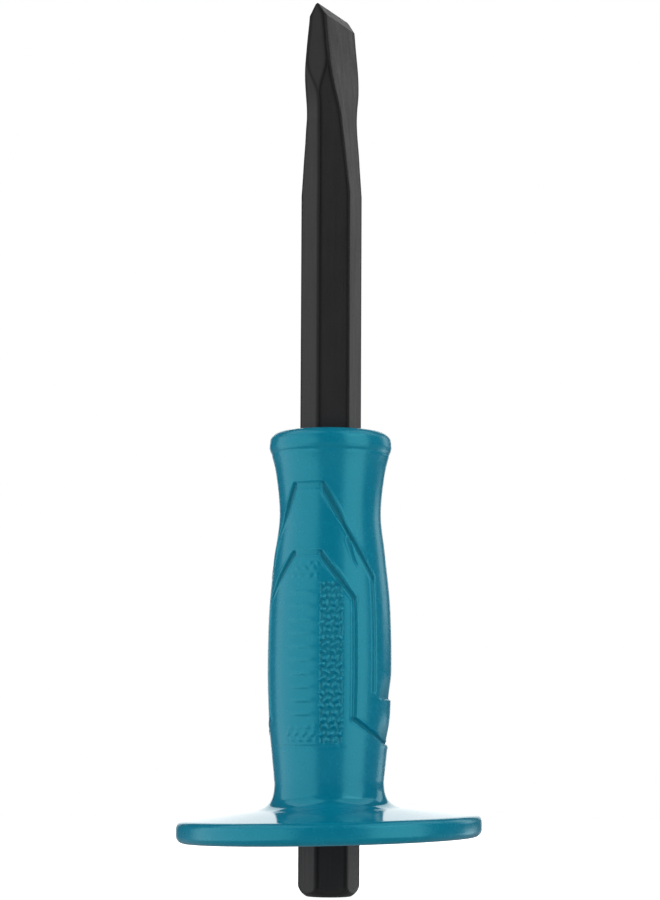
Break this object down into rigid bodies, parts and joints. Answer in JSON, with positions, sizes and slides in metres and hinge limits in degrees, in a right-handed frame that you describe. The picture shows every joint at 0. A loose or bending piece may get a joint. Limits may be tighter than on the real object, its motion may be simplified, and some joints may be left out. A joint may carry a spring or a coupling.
{
  "type": "cold chisel",
  "caption": "Hexagonal steel bar drawn out to a flat cutting edge, held in a flared soft sleeve moulded in one with a round hand guard above the struck end.",
  "frame": {"origin": "centre of the flat face that the hammer strikes", "axes": "+Z along the bar from the struck face to the cutting edge, +X along the cutting edge, +Y out of a broad face of the blade"},
  "size_m": [0.102, 0.102, 0.3],
  "materials": {
    "blackened_steel": "satin black",
    "teal_moulding": "semi-gloss moulded"
  },
  "bodies": {
    "root": {"chisel_bar": "blackened_steel", "hand_guard_grip": "teal_moulding"}
  },
  "joints": []
}
